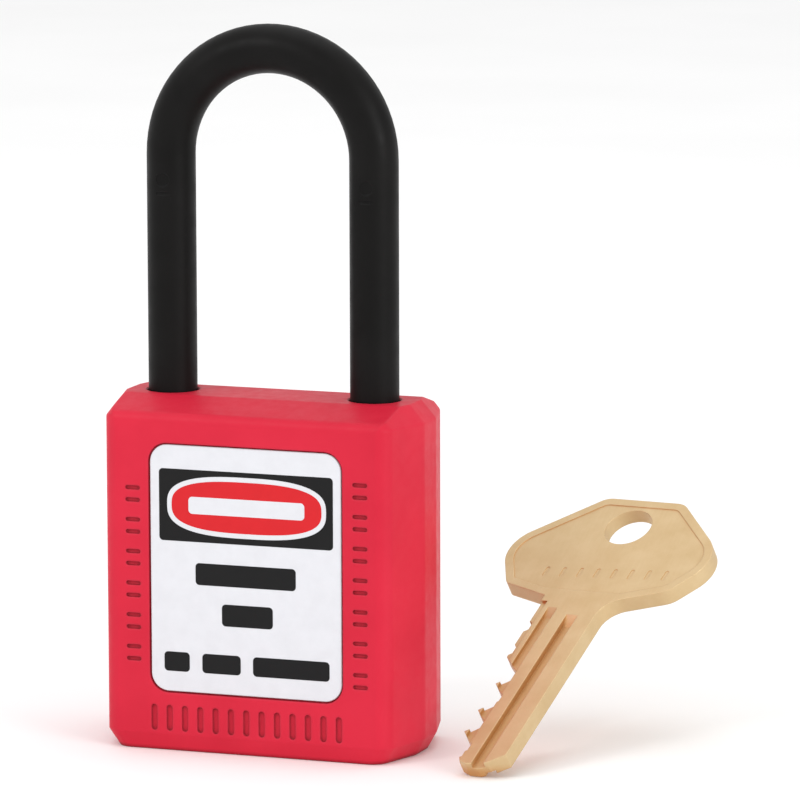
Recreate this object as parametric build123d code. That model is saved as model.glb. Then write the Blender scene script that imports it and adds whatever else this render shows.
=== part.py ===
"""Safety padlock with a moulded plastic body, a nylon shackle and a six-pin cylinder.

Millimetres. The origin is the centre of the body's underside, +Z is up, -Y is the label side.
The key goes in from below. Turning the plug a quarter turn draws both locking dogs inward
and lets the shackle rise.
"""

import math
import os

from build123d import *

# Body
BODY_HALF_WIDTH = 20.3
BODY_HALF_DEPTH = 9.85
BODY_HEIGHT = 43.1
FRONT_HALF_WIDTH = 18.15  # flat part of the front and rear faces
SIDE_STRIP_HALF = 2.1  # narrow flat strip left between the corner facets
CORNER_ROUND = 2.0
SHOULDER_Z = 41.5  # where the front face meets the sloping top
RIDGE_HALF_DEPTH = 4.0  # flat ridge that the shackle stands in
ROOF_ROUND = 1.2
TOP_BEVEL_HEIGHT = 2.2
TOP_BEVEL_INSET = 1.9
TOP_BEVEL_ROUND = 0.6
FOOT_BEVEL_HEIGHT = 2.1
FOOT_BEVEL_INSET = 1.2
FOOT_DEPTH_INSET = 0.7

# Engraved marks on the front, in place of lettering
MARK_DEPTH = 0.3
DASH_SIZE = (1.9, 0.5)
DASH_RISE = 0.75  # each mark is two dashes, this far above and below its centre
LEFT_MARKS = (-14.6, 31.6, -3.93, 6)  # x, first height, step, count
RIGHT_MARKS = (14.8, 33.5, -3.87, 7)
RIB_SIZE = (3.2, 0.8)
RIB_MARKS = (-12.0, 4.1, 2.0, 13)  # first x, height, step, count

# Shackle
SHACKLE_RADIUS = 3.0
LEG_X = 13.15
ARCH_Z = 72.2
TOE_END_Z = 29.5
HEEL_END_Z = 12.0
SHACKLE_LIFT = 15.2
BORE_RADIUS = 3.15
BORE_RIM = 0.35
MOULD_MARK_Z = 69.2
MOULD_MARK_RADIUS = 0.85
MOULD_MARK_TAIL = 0.35
MOULD_MARK_DEPTH = 0.16

# Cylinder and plug, which turn about a vertical axis
PLUG_Y = -2.0
PLUG_RADIUS = 5.4
PLUG_BOTTOM_Z = 0.6
PLUG_TOP_Z = 30.6
PLUG_HEAD_RADIUS = 5.75
PLUG_HEAD_TOP_Z = 2.35
NECK_RADIUS = 4.2
NECK_TOP_Z = 31.7
CLIP_GROOVE_RADIUS = 3.4
CLIP_Z = (30.78, 31.22)
CLIP_OUTER_RADIUS = 5.9
CLIP_OPENING = 3.6
TONGUE_SIZE = (2.0, 6.0, 1.3)
SHELL_RADIUS = 6.15
SHELL_Z = (2.45, 30.55)
SHELL_BORE_RADIUS = 5.45
TOWER_HALF_WIDTH = 2.35
TOWER_BACK_Y = 8.25
COVER_HALF_WIDTH = 1.9
COVER_Y = (7.77, 8.2)
COVER_Z = (3.0, 30.0)

# Pins
PIN_COUNT = 6
PIN_RADIUS = 1.3
PIN_TIP_RADIUS = 0.4
PIN_POINT = 0.9
PIN_CHAMFER = 0.15
PIN_PITCH = 4.3
FIRST_PIN_Z = PLUG_BOTTOM_Z + 5.3
SHEAR_Y = 3.2  # inner side of the gap between key pin and driver
DRIVER_Y = (3.45, 6.2)
SPRING_Y = (6.23, 7.72)
PIN_SPRING_RADIUS = 0.95
PIN_SPRING_WIRE = 0.14
PIN_SPRING_TURNS = 3.5
CHAMBER_RADIUS = 1.4
PLUG_HOLE_RADIUS = 1.36
PLUG_HOLE_FLOOR_Y = -1.4
CUT_DEPTHS = (0.5, 0.4, 2.7, 3.05, 2.5, 3.1)  # key cuts from the shoulder to the tip

# Cam and dogs
CAM_RADIUS = 6.1
CAM_Z = (31.75, 35.15)
CAM_GROOVE_FLOOR_Z = 33.45
CAM_GROOVE_WIDTH = 1.8
CAM_GROOVE_LINKS = 12
DOG_TRAVEL = 3.2
FOLLOWER_RADIUS = 0.75
FOLLOWER_X = 4.8
FOLLOWER_BOTTOM_Z = 33.6
DOG_Z = (35.35, 38.15)
DOG_X = (3.5, 12.45)
DOG_Y = (-4.6, 2.6)

# Bottom cap and its screw
CAP_HALF_SIZE = (16.95, 8.45)
CAP_CORNER = 3.95
CAP_Z = (0.25, 2.4)
CAP_SPIGOT_HEIGHT = 2.0
DRAIN_RADIUS = 0.6
BOSS_RADIUS = 3.2
BOSS_TOP_Z = 12.0
SCREW_HEAD_Z = (26.05, 28.2)
SCREW_HEAD_RADIUS = 2.5
SCREW_RADIUS = 1.4
SCREW_BOTTOM_Z = 4.0
SCREW_CROSS = (2.8, 0.7, 2.0)

# Shackle heel fittings
HEEL_POCKET_RADIUS = 3.8
HEEL_POCKET_TOP_Z = 29.9
RING_RADIUS = 3.7
RING_Z = (13.05, 14.55)
HEEL_GROOVE_RADIUS = 2.4
SPIGOT_RADIUS = 1.3
SPIGOT_LENGTH = 2.5
HEEL_SPRING_RADIUS = 2.4
HEEL_SPRING_WIRE = 0.32
HEEL_SPRING_TURNS = 7

# Labels
LABEL_SIZE = (24.7, 30.4)
LABEL_CENTRE_Z = 22.65
LABEL_CORNER = 2.2
LABEL_THICKNESS = 0.3
LABEL_RECESS = 0.45
LABEL_MARGIN = 0.2

# Key, drawn flat: T runs across the blade toward its spine, S runs from the tip to the bow
KEY_THICKNESS = 2.1
BLADE_HEIGHT = 8.6
BLADE_SPINE = 3.6  # T of the blade's spine
BLADE_LENGTH = 29.6
# Corners of the blade tip as distance from the spine or the cut edge, and from the tip
TIP_SPINE_SIDE = ((0, 2.1), (1.9, 0.5), (3.2, 0))
TIP_CUT_SIDE = ((3.9, 0), (2.7, 0.5), (1.9, 1.8), (0, 3.8))
SHOULDER_S = -13.5
CUT_ROOT_HALF = 0.55
CUT_SIDE = (4.0, 4.2)  # how far the sides of a cut run out, and their half width there
KEY_SPINE_Y = -6.85  # where the spine lies when the key is in the plug
# Bow corners as T, S and rounding, clockwise from the shoulder
BOW_CORNERS = (
    (-11.45, -11.9, 1.0),
    (-15.3, -5.1, 4.8),
    (-4.9, 4.45, 2.4),
    (6.2, 4.45, 2.4),
    (15.9, -4.4, 5.0),
    (11.3, -11.0, 3.0),
    (BLADE_SPINE, -13.9, 3.5),
)
BOW_FOOT_S = -18.0
KEY_HOLE = (0.4, -0.35)
KEY_HOLE_RADIUS = 3.1
BOW_RIM_WIDTH = 1.1
BOW_RIM_DEPTH = 0.1
BOW_RIM_FOOT_S = -12.2
BOW_MARKS = (-7.0, 9.6, 8)  # first T, last T, count
BOW_MARK_S = (-9.3, -8.3)
BOW_MARK_SIZE = (1.7, 0.5)
BOW_MARK_DEPTH = 0.16
# Milled grooves as side, distance from the spine, width, depth and start
KEY_GROOVES = (
    (1, 3.1, 1.6, 0.75, -18.0),
    (1, 6.4, 1.3, 0.5, -17.0),
    (-1, 2.0, 1.2, 0.5, -18.0),
)
GROOVE_RUNOUT = 1.5
BLADE_STEP = (0.9, 0.35)  # width and depth of the step along the cut edge
KEYWAY_CLEARANCE = 0.1
KEYWAY_MOUTH_BEVEL = 0.25
KEYWAY_RIB_Z = PLUG_BOTTOM_Z + 4.7  # below it the keyway is a plain slot
KEYWAY_TOP_Z = 30.4
KEY_PLACE = (37.8, 22.86, 25.257)
KEY_TILT = (32.03, -8.55, -10.5)

GAP = 0.05  # assembly clearance


def cylinder(radius, bottom, top, x=0.0, y=0.0):
    """Upright cylinder between two heights."""
    centre = Pos(x, y, (bottom + top) / 2)
    return centre * Cylinder(radius, top - bottom)


def block(x_range, y_range, z_range):
    """Box between pairs of limits."""
    sizes = [high - low for low, high in (x_range, y_range, z_range)]
    middles = [(high + low) / 2 for low, high in (x_range, y_range, z_range)]
    return Pos(*middles) * Box(*sizes)


def cross_pin(radius, start, end, z):
    """Cylinder along Y at x = 0."""
    return Pos(0, (start + end) / 2, z) * Rot(90, 0, 0) * Cylinder(radius, end - start)


def upright_face(sketch, y, depth):
    """Sketch drawn looking along +Y, placed at y and extruded toward +Y by depth."""
    plane = Plane(origin=(0, y, 0), x_dir=(1, 0, 0), z_dir=(0, -1, 0))
    return extrude(plane * sketch, depth, dir=(0, 1, 0))


def coil(radius, wire_radius, length, turns):
    """Closed round-wire spring along +Z from z = 0."""
    pitch = (length - 2 * wire_radius) / turns
    path = Helix(pitch, length - 2 * wire_radius, radius)
    start = Plane(origin=path @ 0, z_dir=path % 0)
    return Pos(0, 0, wire_radius) * sweep(start * Circle(wire_radius), path)


def body_outline(side, front, depth):
    """Eight-sided plan outline with long corner facets and rounded corners."""
    right = [(front, -depth), (side, -SIDE_STRIP_HALF), (side, SIDE_STRIP_HALF), (front, depth)]
    left = [(-x, -y) for x, y in right]
    outline = Polygon(*right, *left, align=None)
    return fillet(outline.vertices(), CORNER_ROUND)


def make_body_blank():
    """Solid outside form of the body."""
    full = body_outline(BODY_HALF_WIDTH, FRONT_HALF_WIDTH, BODY_HALF_DEPTH)
    foot = body_outline(
        BODY_HALF_WIDTH - FOOT_BEVEL_INSET,
        FRONT_HALF_WIDTH - FOOT_BEVEL_INSET,
        BODY_HALF_DEPTH - FOOT_DEPTH_INSET,
    )
    top = body_outline(
        BODY_HALF_WIDTH - TOP_BEVEL_INSET,
        FRONT_HALF_WIDTH - TOP_BEVEL_INSET,
        BODY_HALF_DEPTH,
    )
    bevel_z = BODY_HEIGHT - TOP_BEVEL_HEIGHT
    blank = loft([foot, Pos(0, 0, FOOT_BEVEL_HEIGHT) * full], ruled=True)
    blank += extrude(Pos(0, 0, FOOT_BEVEL_HEIGHT) * full, bevel_z - FOOT_BEVEL_HEIGHT)
    blank += loft([Pos(0, 0, bevel_z) * full, Pos(0, 0, BODY_HEIGHT) * top], ruled=True)
    rim = [edge for edge in blank.edges() if abs(edge.center().Z - bevel_z) < GAP]
    blank = fillet(rim, TOP_BEVEL_ROUND)
    roof = Polygon(
        (-BODY_HALF_DEPTH, 0),
        (BODY_HALF_DEPTH, 0),
        (BODY_HALF_DEPTH, SHOULDER_Z),
        (RIDGE_HALF_DEPTH, BODY_HEIGHT),
        (-RIDGE_HALF_DEPTH, BODY_HEIGHT),
        (-BODY_HALF_DEPTH, SHOULDER_Z),
        align=None,
    )
    roof = fillet(roof.vertices().sort_by(Axis.Y)[2:], ROOF_ROUND)
    return blank & extrude(Plane.YZ * roof, BODY_HALF_WIDTH, both=True)


def make_surface_marks():
    """Shallow engraved marks on the front: two columns of double dashes and a row of ribs."""
    dash = SlotOverall(*DASH_SIZE)
    mark = Pos(0, DASH_RISE) * dash + Pos(0, -DASH_RISE) * dash
    front = Sketch()
    for x, first, step, count in (LEFT_MARKS, RIGHT_MARKS):
        for i in range(count):
            front += Pos(x, first + step * i) * mark
    first, height, step, count = RIB_MARKS
    for i in range(count):
        front += Pos(first + step * i, height) * SlotOverall(*RIB_SIZE, rotation=90)
    return upright_face(front, -BODY_HALF_DEPTH, MARK_DEPTH)


def label_recess():
    """Rounded rectangle of the label recess, a little larger than the label."""
    width, height = [size + 2 * LABEL_MARGIN for size in LABEL_SIZE]
    return Pos(0, LABEL_CENTRE_Z) * RectangleRounded(width, height, LABEL_CORNER + LABEL_MARGIN)


def make_body_shell():
    """Outside form with the bores, the cylinder pocket and the recesses cut away."""
    shell = make_body_blank()
    shell -= make_surface_marks()
    recess = upright_face(label_recess(), -BODY_HALF_DEPTH, LABEL_RECESS)
    shell -= recess
    shell -= mirror(recess, Plane.XZ)
    cap = RectangleRounded(
        2 * (CAP_HALF_SIZE[0] + GAP), 2 * (CAP_HALF_SIZE[1] + GAP), CAP_CORNER + GAP
    )
    shell -= extrude(cap, CAP_Z[1] + GAP)
    shell -= cylinder(BORE_RADIUS, HEEL_POCKET_TOP_Z - 1, BODY_HEIGHT + 1, -LEG_X)
    shell -= cylinder(HEEL_POCKET_RADIUS, 0, HEEL_POCKET_TOP_Z, -LEG_X)
    shell -= cylinder(BORE_RADIUS, SCREW_HEAD_Z[0] - GAP, BODY_HEIGHT + 1, LEG_X)
    shell -= cylinder(SCREW_RADIUS + 2 * GAP, 0, SCREW_HEAD_Z[0], LEG_X)
    shell -= cylinder(BOSS_RADIUS + GAP, 0, BOSS_TOP_Z + GAP, LEG_X)
    shell -= cylinder(SHELL_RADIUS + 2 * GAP, 0, CAM_Z[1] + 2 * GAP, 0, PLUG_Y)
    half = TOWER_HALF_WIDTH + 2 * GAP
    shell -= block((-half, half), (PLUG_Y, TOWER_BACK_Y + 2 * GAP), (0, SHELL_Z[1] + GAP))
    reach = DOG_X[1] + 3 * GAP
    channel_y = (DOG_Y[0] - 3 * GAP, DOG_Y[1] + 3 * GAP)
    shell -= block((-reach, reach), channel_y, (DOG_Z[0] - 2 * GAP, DOG_Z[1] + 3 * GAP))
    for x in (-LEG_X, LEG_X):
        shell -= Pos(x, 0, BODY_HEIGHT) * Cone(BORE_RADIUS, BORE_RADIUS + BORE_RIM, BORE_RIM)
    return shell


def make_bottom_cap():
    """Plate around the plug's face, with a screw boss and a spring seat."""
    width, depth = CAP_HALF_SIZE
    cap = extrude(RectangleRounded(2 * width, 2 * depth, CAP_CORNER), CAP_Z[1] - CAP_Z[0])
    cap = Pos(0, 0, CAP_Z[0]) * cap
    cap = chamfer(cap.edges().group_by(Axis.Z)[0], 0.3)
    cap += cylinder(BOSS_RADIUS, CAP_Z[1], BOSS_TOP_Z, LEG_X)
    cap += cylinder(SPIGOT_RADIUS, CAP_Z[1], CAP_Z[1] + CAP_SPIGOT_HEIGHT, -LEG_X)
    cap -= cylinder(PLUG_HEAD_RADIUS + 2 * GAP, 0, CAP_Z[1] + 1, 0, PLUG_Y)
    cap -= cylinder(SCREW_RADIUS + GAP, SCREW_BOTTOM_Z - 0.5, BOSS_TOP_Z + 1, LEG_X)
    return cap - cylinder(DRAIN_RADIUS, 0, CAP_Z[1] + CAP_SPIGOT_HEIGHT + 1, -LEG_X)


def make_cap_screw():
    """Pan-head screw with a cross recess, standing in the toe bore."""
    head_bottom, head_top = SCREW_HEAD_Z
    screw = cylinder(SCREW_RADIUS, SCREW_BOTTOM_Z, head_bottom, LEG_X)
    head = cylinder(SCREW_HEAD_RADIUS, head_bottom, head_top, LEG_X)
    head = fillet(head.edges().group_by(Axis.Z)[-1], 0.7)
    screw += head
    screw = chamfer(screw.edges().group_by(Axis.Z)[0], 0.5)
    for turn in (0, 90):
        arm = Pos(LEG_X, 0, head_top) * Rot(0, 0, turn) * Box(*SCREW_CROSS)
        screw -= arm
    return screw


def make_label():
    """Thin printed panel of the front recess."""
    outline = Pos(0, LABEL_CENTRE_Z) * RectangleRounded(*LABEL_SIZE, LABEL_CORNER)
    face = -BODY_HALF_DEPTH + LABEL_RECESS - LABEL_THICKNESS - 0.02
    label = upright_face(outline, face, LABEL_THICKNESS)
    return chamfer(label.edges().group_by(Axis.Y)[0], 0.08)


def pin_heights():
    """Height of each pin chamber, from the keyway upward."""
    return [FIRST_PIN_Z + PIN_PITCH * i for i in range(PIN_COUNT)]


def make_cylinder_shell():
    """Round housing of the plug, with the square tower that holds the driver pins."""
    shell = cylinder(SHELL_RADIUS, *SHELL_Z, 0, PLUG_Y)
    shell += block((-TOWER_HALF_WIDTH, TOWER_HALF_WIDTH), (0, TOWER_BACK_Y), SHELL_Z)
    shell -= cylinder(SHELL_BORE_RADIUS, 0, PLUG_TOP_Z + 1, 0, PLUG_Y)
    for z in pin_heights():
        shell -= cross_pin(CHAMBER_RADIUS, 0, TOWER_BACK_Y + 1, z)
    half = COVER_HALF_WIDTH + GAP
    height = (COVER_Z[0] - GAP, COVER_Z[1] + GAP)
    return shell - block((-half, half), (COVER_Y[0] - GAP, TOWER_BACK_Y + 1), height)


def make_chamber_cover():
    """Strip that closes the outer ends of the pin chambers."""
    return block((-COVER_HALF_WIDTH, COVER_HALF_WIDTH), COVER_Y, COVER_Z)


def keyway_slot(grow=0.0):
    """Keyway section seen from above."""
    margin = KEYWAY_CLEARANCE + grow
    start = KEY_SPINE_Y - margin
    end = KEY_SPINE_Y + BLADE_HEIGHT + margin
    return Pos(0, (start + end) / 2) * Rectangle(KEY_THICKNESS + 2 * margin, end - start)


def keyway_ribs():
    """Section of the ribs that run in the key's grooves."""
    wall = KEY_THICKNESS / 2 + KEYWAY_CLEARANCE
    ribs = Sketch()
    for side, from_spine, width, depth, _ in KEY_GROOVES:
        centre = Pos(side * (wall - depth / 2 + GAP), KEY_SPINE_Y + from_spine)
        ribs += centre * Rectangle(depth + 2 * GAP, width - 2 * KEYWAY_CLEARANCE)
    return ribs


def make_plug():
    """Keyed plug with its pin holes, clip groove and driving tongue."""
    plug = cylinder(PLUG_RADIUS, PLUG_BOTTOM_Z, PLUG_TOP_Z, 0, PLUG_Y)
    plug += cylinder(PLUG_HEAD_RADIUS, PLUG_BOTTOM_Z, PLUG_HEAD_TOP_Z, 0, PLUG_Y)
    plug = chamfer(plug.edges().group_by(Axis.Z)[0], 0.35)
    plug += cylinder(NECK_RADIUS, PLUG_TOP_Z, NECK_TOP_Z, 0, PLUG_Y)
    groove = cylinder(NECK_RADIUS + 1, CLIP_Z[0] - 0.03, CLIP_Z[1] + 0.03, 0, PLUG_Y)
    groove -= cylinder(CLIP_GROOVE_RADIUS, CLIP_Z[0] - 1, CLIP_Z[1] + 1, 0, PLUG_Y)
    plug -= groove
    width, length, height = TONGUE_SIZE
    plug += Pos(0, PLUG_Y, NECK_TOP_Z + height / 2) * Box(width, length, height)
    mouth = Pos(0, 0, PLUG_BOTTOM_Z) * keyway_slot(KEYWAY_MOUTH_BEVEL)
    slot = loft([mouth, Pos(0, 0, PLUG_BOTTOM_Z + KEYWAY_MOUTH_BEVEL) * keyway_slot()], ruled=True)
    slot += extrude(Pos(0, 0, PLUG_BOTTOM_Z) * keyway_slot(), KEYWAY_TOP_Z - PLUG_BOTTOM_Z)
    plug -= slot - extrude(Pos(0, 0, KEYWAY_RIB_Z) * keyway_ribs(), KEYWAY_TOP_Z - KEYWAY_RIB_Z)
    for z in pin_heights():
        plug -= cross_pin(PLUG_HOLE_RADIUS, PLUG_HOLE_FLOOR_Y, PLUG_RADIUS, z)
    return plug


def make_plug_clip():
    """Split ring in the plug's groove, bearing on top of the cylinder shell."""
    ring = cylinder(CLIP_OUTER_RADIUS, *CLIP_Z, 0, PLUG_Y)
    ring -= cylinder(CLIP_GROOVE_RADIUS + 0.02, *CLIP_Z, 0, PLUG_Y)
    half = CLIP_OPENING / 2
    return ring - block((-half, half), (PLUG_Y, PLUG_Y + CLIP_OUTER_RADIUS + 1), CLIP_Z)


def spiral_point(turn):
    """Groove centre on the cam: the radius falls evenly with the cam's turn."""
    radius = FOLLOWER_X - DOG_TRAVEL * turn / 90
    angle = math.radians(-turn)
    return Vector(radius * math.cos(angle), radius * math.sin(angle))


def make_cam():
    """Disc with two spiral grooves, one for each dog's follower pin."""
    cam = cylinder(CAM_RADIUS, *CAM_Z, 0, PLUG_Y)
    cam = chamfer(cam.edges().group_by(Axis.Z)[-1], 0.25)
    width, length, height = TONGUE_SIZE
    socket = Box(width + 0.08, length + 0.08, height + 0.15)
    cam -= Pos(0, PLUG_Y, NECK_TOP_Z + (height + 0.15) / 2) * socket
    groove = Sketch()
    for i in range(CAM_GROOVE_LINKS):
        start = spiral_point(90 * i / CAM_GROOVE_LINKS)
        end = spiral_point(90 * (i + 1) / CAM_GROOVE_LINKS)
        middle = (start + end) * 0.5
        run = end - start
        tilt = math.degrees(math.atan2(run.Y, run.X))
        link = SlotCenterToCenter(run.length, CAM_GROOVE_WIDTH, rotation=tilt)
        groove += Pos(middle.X, middle.Y) * link
    for turn in (0, 180):
        placed = Pos(0, PLUG_Y, CAM_GROOVE_FLOOR_Z) * Rot(0, 0, turn) * groove
        cam -= extrude(placed, CAM_Z[1] - CAM_GROOVE_FLOOR_Z + 1)
    return cam


def make_dog():
    """Right-hand dog: a sliding block that enters the shackle's notch."""
    dog = block(DOG_X, DOG_Y, DOG_Z)
    dog = chamfer(dog.edges().filter_by(Axis.Z).group_by(Axis.X)[-1], 0.8)
    dog = fillet(dog.edges().filter_by(Axis.Z).group_by(Axis.X)[0], 0.6)
    return dog + cylinder(FOLLOWER_RADIUS, FOLLOWER_BOTTOM_Z, DOG_Z[0], FOLLOWER_X, PLUG_Y)


def make_key_pin(z, depth):
    """Key pin with a conical point resting on its cut."""
    tip = KEY_SPINE_Y + BLADE_HEIGHT - depth
    profile = Polygon(
        (0, tip),
        (PIN_TIP_RADIUS, tip),
        (PIN_RADIUS, tip + PIN_POINT),
        (PIN_RADIUS, SHEAR_Y - PIN_CHAMFER),
        (PIN_RADIUS - PIN_CHAMFER, SHEAR_Y),
        (0, SHEAR_Y),
        align=None,
    )
    return Pos(0, 0, z) * revolve(profile, Axis.Y)


def make_driver_pin(z):
    """Flat driver pin with chamfered ends."""
    start, end = DRIVER_Y
    pin = cross_pin(PIN_RADIUS, start, end, z)
    return chamfer(pin.edges().filter_by(GeomType.CIRCLE), PIN_CHAMFER)


def make_pin_spring(z):
    """Small coil spring between a driver pin and the chamber cover."""
    start, end = SPRING_Y
    spring = coil(PIN_SPRING_RADIUS, PIN_SPRING_WIRE, end - start, PIN_SPRING_TURNS)
    return Pos(0, start, z) * Rot(-90, 0, 0) * spring


def make_shackle():
    """Bent nylon rod with two wedge notches and a stepped heel."""
    path = Line((-LEG_X, 0, HEEL_END_Z), (-LEG_X, 0, ARCH_Z))
    bend = ThreePointArc((-LEG_X, 0, ARCH_Z), (0, 0, ARCH_Z + LEG_X), (LEG_X, 0, ARCH_Z))
    drop = Line((LEG_X, 0, ARCH_Z), (LEG_X, 0, TOE_END_Z))
    rod = sweep(Pos(-LEG_X, 0, HEEL_END_Z) * Circle(SHACKLE_RADIUS), Wire([path, bend, drop]))
    toe_rim = [edge for edge in rod.edges() if abs(edge.center().Z - TOE_END_Z) < GAP]
    rod = chamfer(toe_rim, 0.5)
    slope = DOG_TRAVEL / SHACKLE_LIFT
    depth_x = DOG_X[1] + 0.1
    open_x = LEG_X - SHACKLE_RADIUS - 1
    notch = Polygon(
        (open_x, DOG_Z[1] + 0.1),
        (depth_x, DOG_Z[1] + 0.1),
        (depth_x, DOG_Z[0]),
        (open_x, DOG_Z[0] - (depth_x - open_x) / slope),
        align=None,
    )
    notch = upright_face(notch, -SHACKLE_RADIUS - 1, 2 * SHACKLE_RADIUS + 2)
    rod -= notch
    rod -= mirror(notch, Plane.YZ)
    low, high = RING_Z
    groove = cylinder(SHACKLE_RADIUS + 1, low - 0.03, high + 0.03, -LEG_X)
    rod -= groove - cylinder(HEEL_GROOVE_RADIUS, low - 1, high + 1, -LEG_X)
    rod += cylinder(SPIGOT_RADIUS, HEEL_END_Z - SPIGOT_LENGTH, HEEL_END_Z, -LEG_X)
    mark = Circle(MOULD_MARK_RADIUS)
    mark += Pos(0, -2 * MOULD_MARK_RADIUS) * Rectangle(2 * MOULD_MARK_RADIUS, MOULD_MARK_TAIL)
    for x in (-LEG_X, LEG_X):
        rod -= upright_face(Pos(x, MOULD_MARK_Z) * mark, -SHACKLE_RADIUS, MOULD_MARK_DEPTH)
    return rod


def make_shackle_ring():
    """Split ring in the heel groove that stops the shackle at full lift."""
    ring = cylinder(RING_RADIUS, *RING_Z, -LEG_X)
    ring -= cylinder(HEEL_GROOVE_RADIUS + 0.02, *RING_Z, -LEG_X)
    return ring - block((-LEG_X - 5, -LEG_X), (-1.2, 1.2), RING_Z)


def make_shackle_spring():
    """Coil spring that lifts the shackle, standing on the bottom cap."""
    bottom = CAP_Z[1] + 0.02
    length = HEEL_END_Z - 0.02 - bottom
    spring = coil(HEEL_SPRING_RADIUS, HEEL_SPRING_WIRE, length, HEEL_SPRING_TURNS)
    return Pos(-LEG_X, 0, bottom) * spring


def bow_outline():
    """Bow of the key: a broad rounded head, fuller on the spine side."""
    edge = BLADE_SPINE - BLADE_HEIGHT
    corners = [(t, s) for t, s, _ in BOW_CORNERS]
    foot = [(BLADE_SPINE, BOW_FOOT_S), (edge, BOW_FOOT_S), (edge, SHOULDER_S)]
    bow = Polygon(*corners, *foot, align=None)
    for t, s, radius in BOW_CORNERS:
        corner = bow.vertices().sort_by_distance((t, s, 0))[0]
        bow = fillet(corner, radius)
    return bow


def key_blade():
    """Blade with six cuts along its left edge and a pointed tip."""
    edge = BLADE_SPINE - BLADE_HEIGHT
    tip = SHOULDER_S - BLADE_LENGTH
    spine_side = [(BLADE_SPINE - t, tip + s) for t, s in TIP_SPINE_SIDE]
    cut_side = [(edge + t, tip + s) for t, s in TIP_CUT_SIDE]
    root = [(edge, SHOULDER_S + 1), (BLADE_SPINE, SHOULDER_S + 1)]
    blade = Polygon(*root, *spine_side, *cut_side, align=None)
    run, flare = CUT_SIDE
    for i, depth in enumerate(CUT_DEPTHS):
        s = SHOULDER_S - FIRST_PIN_Z + PLUG_BOTTOM_Z - PIN_PITCH * i
        root = edge + depth
        blade -= Polygon(
            (root, s - CUT_ROOT_HALF),
            (root, s + CUT_ROOT_HALF),
            (root - run, s + flare),
            (root - run, s - flare),
            align=None,
        )
    return blade


def key_groove(from_spine, width, depth, start):
    """Cutter for one groove of the upper side, running out toward the bow."""
    half = KEY_THICKNESS / 2
    tip = SHOULDER_S - BLADE_LENGTH
    section = Polygon(
        (start + GROOVE_RUNOUT, half),
        (start, half - depth),
        (tip - 1, half - depth),
        (tip - 1, half + 1),
        (start + GROOVE_RUNOUT, half + 1),
        align=None,
    )
    middle = BLADE_SPINE - from_spine
    plane = Plane(origin=(middle - width / 2, 0, 0), x_dir=(0, 1, 0), z_dir=(1, 0, 0))
    return extrude(plane * section, width, dir=(1, 0, 0))


def make_key():
    """Flat brass key with milled grooves, a coined rim and a ring hole."""
    half = KEY_THICKNESS / 2
    edge = BLADE_SPINE - BLADE_HEIGHT
    tip = SHOULDER_S - BLADE_LENGTH
    bow = bow_outline()
    key = extrude(bow + key_blade(), half, both=True)
    foot = Pos(0, BOW_RIM_FOOT_S - BLADE_LENGTH / 2) * Rectangle(2 * BLADE_LENGTH, BLADE_LENGTH)
    panel = offset(bow, -BOW_RIM_WIDTH) - foot
    first, last, count = BOW_MARKS
    low, high = BOW_MARK_S
    marks = Sketch()
    for i in range(count):
        part = i / (count - 1)
        place = Pos(first + (last - first) * part, low + (high - low) * part)
        marks += place * SlotOverall(*BOW_MARK_SIZE, rotation=90)
    for side in (-1, 1):
        face = Pos(0, 0, side * half)
        key -= extrude(face * panel, BOW_RIM_DEPTH, dir=(0, 0, -side))
        key -= extrude(face * marks, BOW_MARK_DEPTH, dir=(0, 0, -side))
    for side, from_spine, width, depth, start in KEY_GROOVES:
        cutter = key_groove(from_spine, width, depth, start)
        key -= cutter if side > 0 else mirror(cutter, Plane.XY)
    width, depth = BLADE_STEP
    key -= block((edge - 1, edge + width), (tip - 1, SHOULDER_S - 1), (half - depth, half + 1))
    key -= Pos(*KEY_HOLE) * Cylinder(KEY_HOLE_RADIUS, 2 * KEY_THICKNESS)
    return Location(KEY_PLACE, KEY_TILT) * Pos(0, 0, -half) * key


def save(shape, name):
    """Write one named solid."""
    export_step(shape, f"parts/{name}.step")


os.makedirs("parts", exist_ok=True)

save(make_body_shell(), "body_shell")
save(make_bottom_cap(), "bottom_cap")
save(make_cap_screw(), "cap_screw")
label = make_label()
save(label, "front_label")
save(mirror(label, Plane.XZ), "rear_label")
save(make_cylinder_shell(), "cylinder_shell")
save(make_chamber_cover(), "chamber_cover")
save(make_plug(), "plug")
save(make_plug_clip(), "plug_clip")
save(make_cam(), "cam")
right_dog = make_dog()
save(right_dog, "dog_right")
save(mirror(right_dog, Plane.YZ), "dog_left")
for number, (z, depth) in enumerate(zip(pin_heights(), CUT_DEPTHS), start=1):
    save(make_key_pin(z, depth), f"key_pin_{number}")
    save(make_driver_pin(z), f"driver_pin_{number}")
    save(make_pin_spring(z), f"pin_spring_{number}")
save(make_shackle(), "shackle")
save(make_shackle_ring(), "shackle_ring")
save(make_shackle_spring(), "shackle_spring")
save(make_key(), "key")
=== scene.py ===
"""Looks, light and camera for the safety padlock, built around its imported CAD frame.

Metres, in the CAD frame: +Z up, -Y out of the labelled face, the lock standing on z = 0.
"""

import math

import bmesh
import bpy
from mathutils import Matrix, Vector


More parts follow.
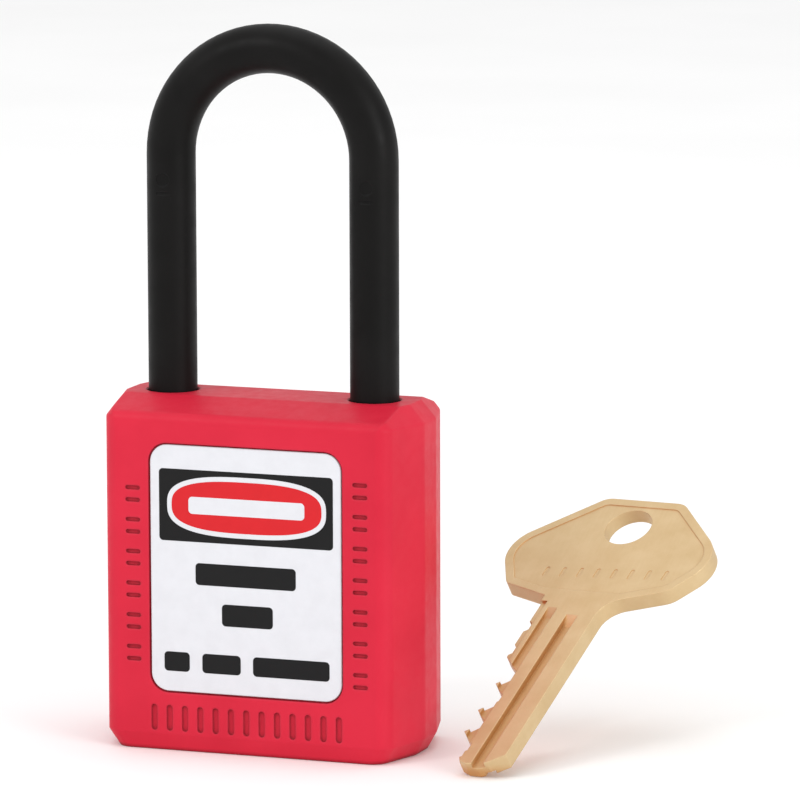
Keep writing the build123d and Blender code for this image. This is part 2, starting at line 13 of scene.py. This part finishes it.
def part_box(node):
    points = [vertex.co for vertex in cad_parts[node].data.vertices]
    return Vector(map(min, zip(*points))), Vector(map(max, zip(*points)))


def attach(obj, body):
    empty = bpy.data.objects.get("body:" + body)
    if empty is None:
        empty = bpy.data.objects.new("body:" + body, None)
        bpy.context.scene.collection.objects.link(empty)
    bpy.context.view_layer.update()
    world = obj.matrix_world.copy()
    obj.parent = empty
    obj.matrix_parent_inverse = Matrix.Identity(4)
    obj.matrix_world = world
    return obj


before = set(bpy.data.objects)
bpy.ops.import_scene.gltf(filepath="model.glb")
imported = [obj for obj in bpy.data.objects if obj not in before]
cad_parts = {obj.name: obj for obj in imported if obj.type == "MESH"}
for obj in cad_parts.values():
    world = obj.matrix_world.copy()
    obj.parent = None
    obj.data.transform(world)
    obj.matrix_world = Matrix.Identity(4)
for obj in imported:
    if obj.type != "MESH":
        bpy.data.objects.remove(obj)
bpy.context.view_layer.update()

MM = 0.001

# The photograph's viewpoint
CAMERA_TURN = math.radians(19.974)  # to the right of the front
CAMERA_RISE = math.radians(9.161)
CAMERA_ROLL = math.radians(-0.159)
CAMERA_DISTANCE = 0.7758
CAMERA_AIM = Vector((0.016395, 0, 0.043214))
CAMERA_LENS = 288.74

# Printed label, in millimetres about the label's own centre
BAND_SIZE = (22.5, 8.86)
BAND_CENTRE = (0.07, 7.85)
OVAL_SIZE = (20.6, 7.5)
OVAL_RING = 0.6
OVAL_CENTRE = (0.15, 7.92)
OVAL_POWER = 2.8  # 2 is an ellipse; more is squarer
OVAL_STEPS = 96
OVAL_BAR = (15.0, 2.1)
# Bars that stand where the real label has wording: centre x, centre z, width, height
BARS = (
    (0.0, -0.5, 13.0, 2.7),
    (0.2, -5.4, 6.6, 2.7),
    (-9.0, -11.5, 3.3, 2.4),
    (-3.2, -11.5, 5.0, 2.4),
    (5.85, -11.5, 9.9, 2.4),
)
RULED_LINES = (5.5, -1.5, -8.5)  # heights on the rear label
RULED_LINE_SIZE = (19.0, 0.35)
INK_THICKNESS = 0.02
PRINT_CORNER = 0.5
RULED_CORNER = 0.17
CORNER_STEPS = 10
MERGE_DISTANCE = 1e-7  # metres

# The key leans on the floor, and its scratches run along the blade
KEY_TURN = tuple(math.radians(angle) for angle in (32.03, -8.55, -10.5))

# Studio, in metres and watts
FLOOR_HALF_SIZE = 6.0
FLOOR_DROP = 0.00005
WORLD_STRENGTH = 0.90
LIGHT_AIM = Vector((0.01, 0, 0.04))
SOFTBOXES = (  # name, place, size, power
    ("key_light", (-0.55, -0.85, 0.75), 0.35, 2.9),
    ("fill_light", (0.95, -0.45, 0.35), 0.45, 3.6),
    ("top_light", (0.0, 0.1, 1.0), 0.8, 1.6),
)

SHADER_SAMPLES = 6  # for edges and hollows


# ---------------------------------------------------------------- materials


class Nodes:
    """A new material's node tree, with short calls to add and join nodes."""

    def __init__(self, name):
        self.material = bpy.data.materials.new(name)
        self.material.use_nodes = True
        self.tree = self.material.node_tree
        self.shader = self.tree.nodes["Principled BSDF"]
        self.place = self.add("ShaderNodeTexCoord").outputs["Object"]

    def add(self, kind, **settings):
        node = self.tree.nodes.new(kind)
        for key, value in settings.items():
            setattr(node, key, value)
        return node

    def join(self, output, target):
        self.tree.links.new(output, target)

    def noise(self, scale, detail=2.0, rough=0.5, place=None):
        node = self.add("ShaderNodeTexNoise")
        node.inputs["Scale"].default_value = scale
        node.inputs["Detail"].default_value = detail
        node.inputs["Roughness"].default_value = rough
        self.join(place or self.place, node.inputs["Vector"])
        return node.outputs["Fac"]

    def remap(self, value, low, high, to_low=0.0, to_high=1.0):
        node = self.add("ShaderNodeMapRange")
        limits = {"From Min": low, "From Max": high, "To Min": to_low, "To Max": to_high}
        for socket, number in limits.items():
            node.inputs[socket].default_value = number
        self.join(value, node.inputs["Value"])
        return node.outputs["Result"]

    def blend(self, factor, first, second):
        """Colour that goes from first to second; each is a colour or an output."""
        node = self.add("ShaderNodeMix", data_type="RGBA")
        self.join(factor, node.inputs[0])
        for socket, value in ((node.inputs[6], first), (node.inputs[7], second)):
            if isinstance(value, tuple):
                socket.default_value = (*value, 1)
            else:
                self.join(value, socket)
        return node.outputs[2]

    def math(self, operation, first, second):
        node = self.add("ShaderNodeMath", operation=operation)
        for socket, value in zip(node.inputs, (first, second)):
            if isinstance(value, (int, float)):
                socket.default_value = value
            else:
                self.join(value, socket)
        return node.outputs[0]

    def stretched(self, scale, turn=(0, 0, 0)):
        """Object coordinates turned, then scaled axis by axis."""
        turned = self.add("ShaderNodeMapping", vector_type="TEXTURE")
        turned.inputs["Rotation"].default_value = turn
        self.join(self.place, turned.inputs["Vector"])
        scaled = self.add("ShaderNodeMapping")
        scaled.inputs["Scale"].default_value = scale
        self.join(turned.outputs["Vector"], scaled.inputs["Vector"])
        return scaled.outputs["Vector"]

    def edges(self, radius):
        """A mask that is 1 along sharp edges, and the normal with those edges rounded."""
        rounded = self.add("ShaderNodeBevel", samples=SHADER_SAMPLES)
        rounded.inputs["Radius"].default_value = radius
        geometry = self.add("ShaderNodeNewGeometry")
        dot = self.add("ShaderNodeVectorMath", operation="DOT_PRODUCT")
        self.join(rounded.outputs["Normal"], dot.inputs[0])
        self.join(geometry.outputs["Normal"], dot.inputs[1])
        return self.remap(dot.outputs["Value"], 0.99, 0.85), rounded.outputs["Normal"]

    def hollows(self, distance):
        """1 well down in creases, grooves and engraved marks, 0 in the open: the mask for
        painted shade.
        """
        node = self.add("ShaderNodeAmbientOcclusion", samples=SHADER_SAMPLES)
        node.inputs["Distance"].default_value = distance
        return self.remap(node.outputs["AO"], 0.92, 0.5)

    def bump(self, height, distance, strength=1.0, under=None):
        node = self.add("ShaderNodeBump")
        node.inputs["Strength"].default_value = strength
        node.inputs["Distance"].default_value = distance
        self.join(height, node.inputs["Height"])
        if under is not None:
            self.join(under, node.inputs["Normal"])
        return node.outputs["Normal"]

    def finish(self, colour=None, rough=None, normal=None, **values):
        for socket, output in (("Base Color", colour), ("Roughness", rough), ("Normal", normal)):
            if output is not None:
                self.join(output, self.shader.inputs[socket])
        for socket, value in values.items():
            self.shader.inputs[socket.replace("_", " ")].default_value = value
        return self.material


def red_plastic():
    """Satin moulded thermoplastic with a fine eroded grain and slight flow mottling."""
    n = Nodes("red_body")
    edge, rounded = n.edges(0.0004)
    mottle = n.remap(n.noise(90, 3), 0.35, 0.65)
    base = n.blend(mottle, (0.575, 0.012, 0.036), (0.63, 0.016, 0.043))
    # edges lighter in colour: partly rubbed wear, partly a painted highlight
    lighter_edges = n.blend(n.math("MULTIPLY", edge, 0.30), base, (0.74, 0.06, 0.10))
    # painted shade: creases, engraved marks and the label recess border darkened towards dark
    # red
    shade_in_marks = n.blend(n.math("MULTIPLY", n.hollows(0.0006), 0.65), lighter_edges, (0.26, 0.005, 0.012))
    rough = n.remap(n.noise(700, 4, 0.6), 0.3, 0.7, 0.42, 0.55)
    grain = n.noise(5200, 3, 0.65)
    waves = n.noise(160, 1)
    normal = n.bump(grain, 0.00002, 0.35, n.bump(waves, 0.0004, 0.08, rounded))
    return n.finish(shade_in_marks, rough, normal, Specular_IOR_Level=0.2)


def black_nylon():
    """Satin nylon, a shade lighter where handling has polished it."""
    n = Nodes("black_nylon")
    edge, rounded = n.edges(0.0003)
    cloud = n.remap(n.noise(140, 3), 0.35, 0.7)
    base = n.blend(cloud, (0.0030, 0.0027, 0.0025), (0.0055, 0.0050, 0.0048))
    lighter_edges = n.blend(n.math("MULTIPLY", edge, 0.35), base, (0.02, 0.02, 0.02))
    rough = n.remap(n.noise(420, 4, 0.6), 0.3, 0.7, 0.38, 0.52)
    fibre = n.noise(1.0, 3, 0.6, n.stretched((6000, 6000, 900)))
    normal = n.bump(fibre, 0.00002, 0.3, rounded)
    return n.finish(lighter_edges, rough, normal, Specular_IOR_Level=0.12)


def film(name, colour, rough, shine=0.5):
    """Printed vinyl film: near-flat colour, faint print mottle and a soft orange peel."""
    n = Nodes(name)
    mottle = n.remap(n.noise(500, 4, 0.6), 0.35, 0.65)
    darker = tuple(c * 0.96 for c in colour)
    base = n.blend(mottle, colour, darker)
    matte = n.remap(n.noise(260, 3), 0.3, 0.7, *rough)
    normal = n.bump(n.noise(1400, 2), 0.00001, 0.25)
    return n.finish(base, matte, normal, Specular_IOR_Level=shine)


def brushed_metal(
    name, light, dark, hollow_shade, rough, turn=(0, 0, 0), stretch=(3000, 260, 3000), metal=1.0
):
    """Metal with fine lengthwise scratches, tarnish clouds, bright edges and painted shade in
    its hollows.
    """
    n = Nodes(name)
    edge, rounded = n.edges(0.00018)
    lines = n.noise(1.0, 5, 0.65, n.stretched(stretch, turn))
    tarnish = n.remap(n.noise(230, 4, 0.6), 0.35, 0.7)
    base = n.blend(tarnish, light, dark)
    bright = tuple(min(1.0, c * 1.2) for c in light)
    shown = n.blend(n.math("MULTIPLY", edge, 0.6), base, bright)
    # painted shade: grooves and hollows darkened towards the hollow colour
    shade_in_hollows = n.blend(n.math("MULTIPLY", n.hollows(0.0018), 0.75), shown, hollow_shade)
    matte = n.remap(lines, 0.3, 0.7, *rough)
    normal = n.bump(lines, 0.00002, 0.35, rounded)
    return n.finish(shade_in_hollows, matte, normal, Metallic=metal)


def die_cast():
    """Grainy grey zinc casting."""
    n = Nodes("die_cast_zinc")
    base = n.blend(n.remap(n.noise(600, 4), 0.35, 0.65), (0.42, 0.43, 0.44), (0.55, 0.56, 0.57))
    rough = n.remap(n.noise(900, 4), 0.3, 0.7, 0.45, 0.65)
    return n.finish(base, rough, n.bump(n.noise(2500, 4), 0.00004, 0.5), Metallic=0.9)


def paint(material, *nodes):
    """Gives CAD nodes a material in every slot."""
    for name in nodes:
        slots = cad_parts[name].material_slots
        for slot in slots:
            slot.material = material


PINS = range(1, 7)
KEY_PINS = [f"key_pin_{i}" for i in PINS]
DRIVER_PINS = [f"driver_pin_{i}" for i in PINS]
PIN_SPRINGS = [f"pin_spring_{i}" for i in PINS]

WHITE_FILM = film("white_film", (0.70, 0.705, 0.74), (0.34, 0.44), 0.4)
KEY_BRASS = brushed_metal(
    "key_brass",
    light=(0.655, 0.49, 0.275),
    dark=(0.60, 0.43, 0.225),
    # painted shade and painted reflection of brass in the key's grooves, orange-brown
    hollow_shade=(0.58, 0.26, 0.07),
    rough=(0.44, 0.56),
    turn=KEY_TURN,
    metal=0.6,
)
BRASS = brushed_metal(
    "machined_brass",
    light=(0.70, 0.52, 0.26),
    dark=(0.60, 0.43, 0.20),
    # painted shade in the hollows
    hollow_shade=(0.34, 0.20, 0.07),
    rough=(0.24, 0.36),
    stretch=(400, 400, 6000),
)
STEEL = brushed_metal(
    "zinc_plated_steel",
    light=(0.58, 0.59, 0.60),
    dark=(0.48, 0.49, 0.51),
    # painted shade in the hollows
    hollow_shade=(0.25, 0.25, 0.26),
    rough=(0.28, 0.42),
)
SPRING_STEEL = brushed_metal(
    "spring_steel",
    light=(0.42, 0.42, 0.43),
    dark=(0.33, 0.33, 0.34),
    # painted shade in the hollows
    hollow_shade=(0.18, 0.18, 0.18),
    rough=(0.25, 0.4),
)

paint(red_plastic(), "body_shell", "bottom_cap")
paint(black_nylon(), "shackle")
paint(WHITE_FILM, "front_label", "rear_label")
paint(KEY_BRASS, "key")
paint(BRASS, "plug", "chamber_cover", *KEY_PINS, *DRIVER_PINS)
paint(STEEL, "cam", "dog_left", "dog_right", "cap_screw")
paint(SPRING_STEEL, "plug_clip", "shackle_ring", "shackle_spring", *PIN_SPRINGS)
paint(die_cast(), "cylinder_shell")


# ---------------------------------------------------------------- printed label


def rounded_loop(width, height, corner):
    """Points of a rounded rectangle about the origin, anticlockwise, in millimetres."""
    points = []
    for turn, (sx, sz) in enumerate(((1, 1), (-1, 1), (-1, -1), (1, -1))):
        centre = Vector((sx * (width / 2 - corner), sz * (height / 2 - corner)))
        for step in range(CORNER_STEPS + 1):
            angle = math.radians(90 * (turn + step / CORNER_STEPS))
            points.append(centre + corner * Vector((math.cos(angle), math.sin(angle))))
    return points


def oval_loop(width, height):
    """Points of a squarish oval about the origin, in millimetres."""
    points = []
    for step in range(OVAL_STEPS):
        angle = 2 * math.pi * step / OVAL_STEPS
        across, up = math.cos(angle), math.sin(angle)
        x = math.copysign(abs(across) ** (2 / OVAL_POWER), across) * width / 2
        z = math.copysign(abs(up) ** (2 / OVAL_POWER), up) * height / 2
        points.append(Vector((x, z)))
    return points


def ink_patch(name, loops, material, layer=1, back=False):
    """Thin printed area on a label, with the first loop outside and any others as holes."""
    low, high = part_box("rear_label" if back else "front_label")
    centre_z = (low.z + high.z) / 2
    curve = bpy.data.curves.new(name, "CURVE")
    curve.dimensions = "2D"
    curve.fill_mode = "BOTH"
    curve.extrude = INK_THICKNESS * layer * MM / 2
    for points in loops:
        spline = curve.splines.new("POLY")
        spline.points.add(len(points) - 1)
        for target, point in zip(spline.points, points):
            target.co = (point.x * MM, point.y * MM, 0, 1)
        spline.use_cyclic_u = True
    holder = bpy.data.objects.new(name + "_curve", curve)
    mesh = bpy.data.meshes.new_from_object(holder)
    bpy.data.objects.remove(holder)
    face_y = high.y + curve.extrude if back else low.y - curve.extrude
    upright = Matrix.Rotation(math.pi / 2, 4, "X")
    facing = Matrix.Rotation(math.pi if back else 0, 4, "Z")
    mesh.transform(Matrix.Translation((0, face_y, centre_z)) @ facing @ upright)
    bm = bmesh.new()
    bm.from_mesh(mesh)
    bmesh.ops.remove_doubles(bm, verts=bm.verts, dist=MERGE_DISTANCE)
    bm.to_mesh(mesh)
    bm.free()
    mesh.materials.append(material)
    piece = bpy.data.objects.new(name, mesh)
    bpy.context.scene.collection.objects.link(piece)
    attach(piece, "housing")
    return piece


def shifted(points, x, z):
    """The same loop about another centre."""
    return [point + Vector((x, z)) for point in points]


def bar(name, x, z, width, height, material, layer=1):
    """Plain bar with rounded corners, standing where the real label has wording."""
    ink_patch(name, [shifted(rounded_loop(width, height, PRINT_CORNER), x, z)], material, layer)


def print_front_label():
    """Black header with a ringed red oval, and plain bars below it."""
    black = film("black_ink", (0.0060, 0.0058, 0.0062), (0.40, 0.50), 0.2)
    red = film("red_ink", (0.62, 0.014, 0.020), (0.34, 0.44), 0.2)
    band = shifted(rounded_loop(*BAND_SIZE, PRINT_CORNER), *BAND_CENTRE)
    width, height = OVAL_SIZE
    ink_patch("label_band", [band, shifted(oval_loop(width, height), *OVAL_CENTRE)], black)
    field = oval_loop(width - 2 * OVAL_RING, height - 2 * OVAL_RING)
    ink_patch("label_oval", [shifted(field, *OVAL_CENTRE)], red)
    bar("label_oval_bar", *OVAL_CENTRE, *OVAL_BAR, WHITE_FILM, 2)
    for number, sizes in enumerate(BARS, start=1):
        bar(f"label_bar_{number}", *sizes, black)


def print_rear_label():
    """Three ruled lines to write on."""
    grey = film("grey_ink", (0.10, 0.10, 0.11), (0.32, 0.42))
    for number, z in enumerate(RULED_LINES, start=1):
        line = shifted(rounded_loop(*RULED_LINE_SIZE, RULED_CORNER), 0, z)
        ink_patch(f"rear_line_{number}", [line], grey, back=True)


print_front_label()
print_rear_label()


# ---------------------------------------------------------------- floor, light and camera


def make_floor():
    """Pale seamless floor."""
    n = Nodes("floor_white")
    base = n.blend(n.remap(n.noise(12, 3), 0.35, 0.65), (0.93, 0.93, 0.93), (0.95, 0.95, 0.95))
    material = n.finish(base, Roughness=0.9)
    mesh = bpy.data.meshes.new("floor")
    size = FLOOR_HALF_SIZE
    corners = [(-size, -size, 0), (size, -size, 0), (size, size, 0), (-size, size, 0)]
    mesh.from_pydata(corners, [], [(0, 1, 2, 3)])
    mesh.materials.append(material)
    floor = bpy.data.objects.new("floor", mesh)
    floor.location.z = -FLOOR_DROP
    bpy.context.scene.collection.objects.link(floor)


def softbox(name, place, size, power):
    """Square white area light aimed at the middle of the lock."""
    light = bpy.data.lights.new(name, "AREA")
    light.size = size
    light.energy = power
    lamp = bpy.data.objects.new(name, light)
    lamp.location = place
    aim = LIGHT_AIM - Vector(place)
    lamp.rotation_euler = aim.to_track_quat("-Z", "Y").to_euler()
    bpy.context.scene.collection.objects.link(lamp)


def make_light():
    """White surroundings with three soft boxes."""
    world = bpy.data.worlds.new("studio")
    world.use_nodes = True
    background = world.node_tree.nodes["Background"]
    background.inputs["Color"].default_value = (1, 1, 1, 1)
    background.inputs["Strength"].default_value = WORLD_STRENGTH
    bpy.context.scene.world = world
    for settings in SOFTBOXES:
        softbox(*settings)


def make_camera():
    """Camera at the photograph's viewing angle."""
    sideways = Vector((math.cos(CAMERA_TURN), math.sin(CAMERA_TURN), 0))
    flat = Vector((math.sin(CAMERA_TURN), -math.cos(CAMERA_TURN), 0))
    back = flat * math.cos(CAMERA_RISE) + Vector((0, 0, math.sin(CAMERA_RISE)))
    upward = back.cross(sideways)
    right = math.cos(CAMERA_ROLL) * sideways + math.sin(CAMERA_ROLL) * upward
    top = math.cos(CAMERA_ROLL) * upward - math.sin(CAMERA_ROLL) * sideways
    lens = bpy.data.cameras.new("camera")
    lens.lens = CAMERA_LENS
    lens.clip_start = 0.01
    camera = bpy.data.objects.new("camera", lens)
    place = CAMERA_AIM + CAMERA_DISTANCE * back
    axes = Matrix((right, top, back)).transposed().to_4x4()
    camera.matrix_world = Matrix.Translation(place) @ axes
    bpy.context.scene.collection.objects.link(camera)
    bpy.context.scene.camera = camera


make_floor()
make_light()
make_camera()
bpy.context.scene.view_settings.view_transform = "Standard"
